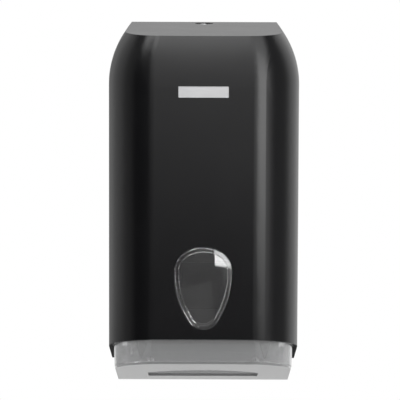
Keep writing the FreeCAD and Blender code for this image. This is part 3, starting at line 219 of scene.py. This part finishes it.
# Grain with hairlines over it, which make the surface rougher: gives back the hairlines' mask
def addWear(tree, shader, look):
    lines = useGroup(tree, scratchGroup, Stretch=look["hairlines"], Threshold=look["threshold"])
    wear = mathNode(tree, "MULTIPLY", lines["Mask"], look["wear"])
    worn = mathNode(tree, "ADD", useGrain(tree, look)["Roughness"], wear, True)
    feed(tree, worn, shader.inputs["Roughness"])
    return lines["Mask"]


plasticFinish = {"ior": 1.5, "pitDepth": 0.00003, "dulling": 0.5}
mouldedPlastics = {
    "blackCoverPlastic": {"color": (0.0038, 0.0038, 0.0043, 1), "roughness": 0.2, "spread": 0.05,
                          "grain": 2600, "bump": 0.06, "dust": 0.035},
    "darkPlatePlastic": {"color": (0.006, 0.006, 0.0063, 1), "roughness": 0.7, "spread": 0.12,
                         "grain": 1500, "bump": 0.22, "dust": 0.04},
    "darkGuidePlastic": {"color": (0.016, 0.0162, 0.0178, 1), "roughness": 0.42, "spread": 0.12,
                         "grain": 1700, "bump": 0.18, "dust": 0.08},
}


def makeMouldedPlastic(name):
    material, tree, shader = newMaterial(name)
    look = {**plasticFinish, **mouldedPlastics[name]}
    grain = useGrain(tree, look)
    dust = useGroup(tree, dustGroup, Base=look["color"], Amount=look["dust"])
    feed(tree, dust["Color"], shader.inputs["Base Color"])
    dulling = mathNode(tree, "MULTIPLY", dust["Mask"], look["dulling"])
    dulled = mathNode(tree, "ADD", grain["Roughness"], dulling, True)
    feed(tree, dulled, shader.inputs["Roughness"])
    addBump(tree, shader, grain["Height"], look["pitDepth"], look["bump"])
    shader.inputs["IOR"].default_value = look["ior"]
    return material


steelFinish = {"grain": 900.0, "hairlines": (900.0, 900.0, 70.0), "threshold": 0.58, "wear": 0.18,
               "darkening": 0.82, "lineDepth": 0.00002, "bump": 0.15}
steels = {
    "zincSteel": {"color": (0.60, 0.60, 0.61, 1), "roughness": 0.34, "spread": 0.2},
    "drawnSteel": {"color": (0.56, 0.56, 0.56, 1), "roughness": 0.26, "spread": 0.12},
    "platedLock": {"color": (0.70, 0.70, 0.71, 1), "roughness": 0.16, "spread": 0.08},
}


def makeSteel(name):
    material, tree, shader = newMaterial(name)
    look = {**steelFinish, **steels[name]}
    mask = addWear(tree, shader, look)
    darker = tuple(look["darkening"] * part for part in look["color"][:3]) + (1,)
    feed(tree, blendColors(tree, mask, look["color"], darker), shader.inputs["Base Color"])
    shader.inputs["Metallic"].default_value = 1
    addBump(tree, shader, mask, look["lineDepth"], look["bump"])
    return material


lensLook = {"color": (0.73, 0.73, 0.735, 1), "roughness": 0.028, "ior": 1.58,
            "hairlines": (1500.0, 240.0, 300.0), "threshold": 0.66, "haze": 0.12}


def makeLensMaterial(look):
    material, tree, shader = newMaterial("clearLens")
    lines = useGroup(tree, scratchGroup, Stretch=look["hairlines"], Threshold=look["threshold"])
    haze = mathNode(tree, "MULTIPLY", lines["Mask"], look["haze"])
    hazed = mathNode(tree, "ADD", haze, look["roughness"], True)
    feed(tree, hazed, shader.inputs["Roughness"])
    shader.inputs["Base Color"].default_value = look["color"]
    shader.inputs["IOR"].default_value = look["ior"]
    shader.inputs["Transmission Weight"].default_value = 1
    return material


trayLook = {"color": (0.78, 0.785, 0.79, 1), "deep": (0.70, 0.705, 0.71, 1), "flowScale": 34,
            "flowDetail": 3, "flowRoughness": 0.5, "flowDistortion": 0.8, "roughness": 0.06,
            "spread": 0.05, "grain": 800.0, "hairlines": (260.0, 1500.0, 900.0), "threshold": 0.7,
            "wear": 0.06, "transmission": 0.84, "ior": 1.5, "smoke": (0.5, 0.5, 0.5, 1),
            "density": 600}


def makeTrayMaterial(look):
    material, tree, shader = newMaterial("smokedTray")
    where = put(tree, "TexCoord").outputs["Object"]
    flow = noiseOn(tree, where, look["flowScale"], look["flowDetail"], look["flowRoughness"],
                   look["flowDistortion"])
    tint = blendColors(tree, flow, look["color"], look["deep"])
    feed(tree, tint, shader.inputs["Base Color"])
    addWear(tree, shader, look)
    shader.inputs["IOR"].default_value = look["ior"]
    shader.inputs["Transmission Weight"].default_value = look["transmission"]
    smoke = put(tree, "VolumeAbsorption")  # thick edges read darker than the thin wall
    smoke.inputs["Color"].default_value = look["smoke"]
    smoke.inputs["Density"].default_value = look["density"]
    feed(tree, smoke.outputs[0], tree.nodes["Material Output"].inputs["Volume"])
    return material


def dress(names, material):
    for name in names:
        node = nodes[name]
        node.data.materials.clear()
        node.data.materials.append(material)


zincPieces = ["lock_cam", "cam_washer", "lock_keeper", "guide_screws", "tray_screws",
              "keeper_screws", "lock_screws", "cam_screw"]

dress(["front_cover"], makeMouldedPlastic("blackCoverPlastic"))
dress(["back_plate"], makeMouldedPlastic("darkPlatePlastic"))
dress(["paper_guide_left", "paper_guide_right"], makeMouldedPlastic("darkGuidePlastic"))
dress(["window_lens"], makeLensMaterial(lensLook))
dress(["bottom_tray"], makeTrayMaterial(trayLook))
dress(["lock_housing", "lock_barrel"], makeSteel("platedLock"))
dress(zincPieces, makeSteel("zincSteel"))
dress(["hinge_pin_left", "hinge_pin_right"], makeSteel("drawnSteel"))
print("materials on the frame")


# Name plate: a bare strip of satin aluminium with rounded corners and a bevelled rim. It follows
# the slight crown of the cover's front panel.
frontPanel = {"depth": 0.145, "crownRadius": 0.607}
namePlate = {"width": 0.0401, "height": 0.0089, "thick": 0.0006, "sunk": 0.0004, "corner": 0.0004,
             "cornerSteps": 6, "bevel": 0.00022, "x": -0.0003, "z": 0.09355,
             "color": (0.61, 0.61, 0.62, 1), "lineColor": (0.54, 0.54, 0.55, 1), "lineShare": 0.6,
             "roughness": 0.3, "spread": 0.12, "grain": 1800.0,
             "hairlines": (90.0, 400.0, 5200.0), "threshold": 0.5, "wear": 0.12,
             "lineDepth": 0.00001, "bump": 0.3}


def makePlateMaterial(look):
    material, tree, shader = newMaterial("satinAluminium")
    mask = addWear(tree, shader, look)
    share = mathNode(tree, "MULTIPLY", mask, look["lineShare"])
    tint = blendColors(tree, share, look["color"], look["lineColor"])
    feed(tree, tint, shader.inputs["Base Color"])
    shader.inputs["Metallic"].default_value = 1
    addBump(tree, shader, mask, look["lineDepth"], look["bump"])
    return material


def frontDepthAt(x):
    return frontPanel["depth"] - x * x / 2 / frontPanel["crownRadius"]


# The plate's outline about its middle, quarter turn by quarter turn from the right-hand side
def plateOutline(look):
    half, tall, corner = look["width"] / 2, look["height"] / 2, look["corner"]
    outline = []
    for sideX, sideZ, start in ((1, 1, 0), (-1, 1, 90), (-1, -1, 180), (1, -1, 270)):
        for step in range(look["cornerSteps"] + 1):
            angle = math.radians(start + 90 * step / look["cornerSteps"])
            outline.append((sideX * (half - corner) + corner * math.cos(angle),
                            sideZ * (tall - corner) + corner * math.sin(angle)))
    return outline


def makeNamePlate(look):
    mesh = bmesh.new()
    half, tall, outline = look["width"] / 2, look["height"] / 2, plateOutline(look)
    levels = ((0, -look["sunk"]), (0, look["thick"] - look["bevel"]),
              (look["bevel"], look["thick"]))
    rings = []
    for inset, lift in levels:
        scaleX, scaleZ = (half - inset) / half, (tall - inset) / tall
        ring = []
        for x, z in outline:
            placeX, placeZ = look["x"] + x * scaleX, look["z"] + z * scaleZ
            ring.append(mesh.verts.new((placeX, -(frontDepthAt(placeX) + lift), placeZ)))
        rings.append(ring)
    for lower, upper in zip(rings, rings[1:]):
        for i in range(len(outline)):
            j = (i + 1) % len(outline)
            mesh.faces.new((lower[i], lower[j], upper[j], upper[i]))
    mesh.faces.new(rings[-1])
    mesh.faces.new(list(reversed(rings[0])))
    bmesh.ops.recalc_face_normals(mesh, faces=mesh.faces)
    data = bpy.data.meshes.new("name_plate")
    mesh.to_mesh(data)
    plate = bpy.data.objects.new("name_plate", data)
    bpy.context.collection.objects.link(plate)
    data.materials.append(makePlateMaterial(look))
    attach(plate, "cover")


makeNamePlate(namePlate)
print("name plate made")


# Studio: a pale floor well below the dispenser, white surroundings, and soft lamps, some of which
# light only the lens or only the tray
studio = {
    "floorHeight": -2.4, "floorSize": 3.0, "floorColor": (0.86, 0.86, 0.86, 1),
    "floorRoughness": 0.7, "ambient": 0.45, "lampAim": (0, -0.07, 0),
    # each lamp: azimuth, elevation, distance, width, height, radiance, the one node that it
    # lights or None for all, and whether it shows in reflections
    "lamps": {
        "rightLamp": (42, 24, 2.4, 1.55, 1.7, 3.4, None, False),
        "topLamp": (0, 72, 1.8, 1.4, 1.0, 2.2, None, False),
        "leftSideLamp": (-78, 6, 2.0, 0.9, 1.2, 2, None, False),
        "rightSideLamp": (84, 6, 2.0, 0.9, 1.2, 1.6, None, False),
        "lensLamp": (35, 15.2, 1.9, 1.9, 1.54, 9.5, "window_lens", True),
        "rimLampLow": (-52, -40, 1.9, 0.8, 0.8, 45, "window_lens", True),
        "rimLampTop": (-30, 52, 1.9, 1.5, 0.7, 16, "window_lens", True),
        "rimLampRight": (66, -26, 1.9, 1.0, 1.1, 12, "window_lens", True),
        "rimLampLeft": (-62, 5, 1.9, 0.6, 1.5, 12, "window_lens", True),
        "lensFill": (-25, -30, 1.9, 2.5, 1.4, 0.16, "window_lens", True),
        "trayLampBelow": (180, -21, 1.9, 2.4, 0.5, 0.53, "bottom_tray", True),
        "trayLampLeft": (-72, 2, 1.9, 0.8, 0.8, 24, "bottom_tray", False),
        "trayLampRight": (74, 2, 1.9, 0.8, 0.8, 24, "bottom_tray", False),
        "lowLamp": (0, -42, 1.2, 1.2, 0.8, 1.0, None, False),
        "underLamp": (0, -86, 1.2, 1.1, 1.1, 4.5, None, False),
    },
}


# White to the camera, in gloss and through the lens, and softer where it lights the pieces
def makeWorld(look):
    world = bpy.data.worlds.new("studioWorld")
    world.use_nodes = True
    tree = world.node_tree
    tree.nodes.clear()
    path = put(tree, "LightPath").outputs
    seen = mathNode(tree, "MAXIMUM", path["Is Camera Ray"], path["Is Glossy Ray"])
    seen = mathNode(tree, "MAXIMUM", seen, path["Is Transmission Ray"])
    mix, out = put(tree, "MixShader"), put(tree, "OutputWorld")
    feed(tree, seen, mix.inputs["Fac"])
    for strength, socket in ((look["ambient"], mix.inputs[1]), (1, mix.inputs[2])):
        light = put(tree, "Background")
        light.inputs["Color"].default_value = (1, 1, 1, 1)
        light.inputs["Strength"].default_value = strength
        feed(tree, light.outputs[0], socket)
    feed(tree, mix.outputs[0], out.inputs["Surface"])
    bpy.context.scene.world = world


def makeFloor(look):
    size, height = look["floorSize"], look["floorHeight"]
    data = bpy.data.meshes.new("paleFloor")
    corners = [(-size, -size, height), (size, -size, height),
               (size, size, height), (-size, size, height)]
    data.from_pydata(corners, [], [(0, 1, 2, 3)])
    floor = bpy.data.objects.new("paleFloor", data)
    bpy.context.collection.objects.link(floor)
    material, tree, shader = newMaterial("paleFloor")
    shader.inputs["Base Color"].default_value = look["floorColor"]
    shader.inputs["Roughness"].default_value = look["floorRoughness"]
    path = put(tree, "LightPath").outputs
    seen = mathNode(tree, "MAXIMUM", path["Is Camera Ray"], path["Is Transmission Ray"])
    glow, mix = put(tree, "Emission"), put(tree, "MixShader")
    glow.inputs["Color"].default_value = (1, 1, 1, 1)
    feed(tree, seen, mix.inputs["Fac"])
    feed(tree, shader.outputs[0], mix.inputs[1])
    feed(tree, glow.outputs[0], mix.inputs[2])
    feed(tree, mix.outputs[0], tree.nodes["Material Output"].inputs["Surface"])
    data.materials.append(material)


def makeLamp(name, azimuth, elevation, distance, width, height, radiance, onlyNode, shows):
    azimuth, elevation = math.radians(azimuth), math.radians(elevation)
    level = math.cos(elevation)
    away = Vector((math.sin(azimuth) * level, -math.cos(azimuth) * level, math.sin(elevation)))
    data = bpy.data.lights.new(name, "AREA")
    data.shape = "RECTANGLE"
    data.size, data.size_y = width, height
    data.energy = radiance * math.pi * data.size * data.size_y
    lamp = bpy.data.objects.new(name, data)
    place = Matrix.Translation(Vector(studio["lampAim"]) + away * distance)
    lamp.matrix_world = place @ away.to_track_quat("Z", "Y").to_matrix().to_4x4()
    lamp.visible_glossy = shows
    bpy.context.collection.objects.link(lamp)
    if onlyNode:
        lit = bpy.data.collections.new(name + "Lit")
        lit.objects.link(nodes[onlyNode])
        lamp.light_linking.receiver_collection = lit


# Surround: a large shell that is seen in reflections only, with soft-edged panels that glow.
# Where two panels overlap, the later one covers the earlier one.
surround = {
    "radius": 3.0, "low": -2.9, "segments": 72, "rings": 36, "base": 0.55,
    # each panel: azimuth from and to, soft edges there, elevation from and to, soft edges there,
    # glow
    "panels": {
        "lowBehind": (-200, 200, 5, 5, -60, -13, 8, 6, 0.04),
        "behindLeft": (-172, -146, 10, 18, -90, 90, 5, 5, 0.34),
        "behindRight": (112, 158, 24, 30, -90, 90, 5, 5, 0.82),
        "darkRight": (64, 104, 12, 22, -90, 90, 5, 5, 0.22),
        "farLeft": (-94, -18, 26, 16, -90, 90, 5, 5, 0.25),
        "nearLeft": (-70, -18, 20, 16, -90, 8, 5, 6, 0.01),
        "frontLow": (-22, 34, 16, 12, -90, 8, 5, 5, 0.06),
        "frontBand": (-18, 34, 22, 14, -3.5, 90, 9, 5, 0.85),
        "frontTopLeft": (-53, -12, 20, 8, 12, 70, 8, 5, 3.3),
        "frontTop": (-20, 14, 10, 14, 8.5, 66, 5, 5, 4.6),
        "rightTop": (13, 58, 14, 20, 5, 60, 6, 5, 1.9),
        "rightBox": (21, 51.5, 15, 15, -7, 6, 7, 6, 4.5),
        "floorGlow": (-200, 200, 5, 5, -90, -48, 5, 12, 1.0),
    },
}


# One soft-edged window: 1 between two angles, falling to 0 over the given widths
def softWindow(tree, angle, low, high, lowSoft, highSoft):
    edges = []
    for start, end in ((low - lowSoft / 2, low + lowSoft / 2),
                       (high + highSoft / 2, high - highSoft / 2)):
        edge = put(tree, "MapRange", interpolation_type="SMOOTHSTEP")
        feed(tree, angle, edge.inputs["Value"])
        feed(tree, math.radians(start), edge.inputs["From Min"])
        feed(tree, math.radians(end), edge.inputs["From Max"])
        edges.append(edge.outputs["Result"])
    return mathNode(tree, "MULTIPLY", edges[0], edges[1])


def makeSurroundMaterial(look):
    material, tree, shader = newMaterial("surround")
    split = put(tree, "SeparateXYZ")
    feed(tree, put(tree, "TexCoord").outputs["Object"], split.inputs[0])
    ahead = mathNode(tree, "MULTIPLY", split.outputs["Y"], -1.0)
    azimuth = mathNode(tree, "ARCTAN2", split.outputs["X"], ahead)
    height = mathNode(tree, "DIVIDE", split.outputs["Z"], look["radius"])
    elevation = mathNode(tree, "ARCSINE", height)
    glow = look["base"]
    for *window, panelGlow in look["panels"].values():
        across = softWindow(tree, azimuth, *window[:4])
        upward = softWindow(tree, elevation, *window[4:])
        mix = put(tree, "Mix", data_type="FLOAT")
        feed(tree, mathNode(tree, "MULTIPLY", across, upward), mix.inputs["Factor"])
        feed(tree, glow, mix.inputs[2])
        feed(tree, panelGlow, mix.inputs[3])
        glow = mix.outputs[0]
    light = put(tree, "Emission")
    feed(tree, glow, light.inputs["Strength"])
    feed(tree, light.outputs[0], tree.nodes["Material Output"].inputs["Surface"])
    tree.nodes.remove(shader)
    return material


# The sphere's faces come in another order in each run, so they are ranked by their points
def faceRank(face):
    places = [point.index for point in face.verts]
    return min(places) * 10000 + max(places)


def makeSurround(look):
    mesh = bmesh.new()
    bmesh.ops.create_uvsphere(mesh, u_segments=look["segments"], v_segments=look["rings"],
                              radius=look["radius"])
    below = [point for point in mesh.verts if point.co.z < look["low"]]
    bmesh.ops.delete(mesh, geom=below, context="VERTS")
    mesh.verts.index_update()
    mesh.faces.sort(key=faceRank)
    data = bpy.data.meshes.new("surround")
    mesh.to_mesh(data)
    shell = bpy.data.objects.new("surround", data)
    bpy.context.collection.objects.link(shell)
    data.materials.append(makeSurroundMaterial(look))
    shell.visible_camera = False
    shell.visible_transmission = False
    shell.visible_diffuse = False
    shell.visible_shadow = False


makeWorld(studio)
makeFloor(studio)
for lampName, lampLook in studio["lamps"].items():
    makeLamp(lampName, *lampLook)
makeSurround(surround)
bpy.context.scene.view_settings.view_transform = "Standard"
print("studio lit")
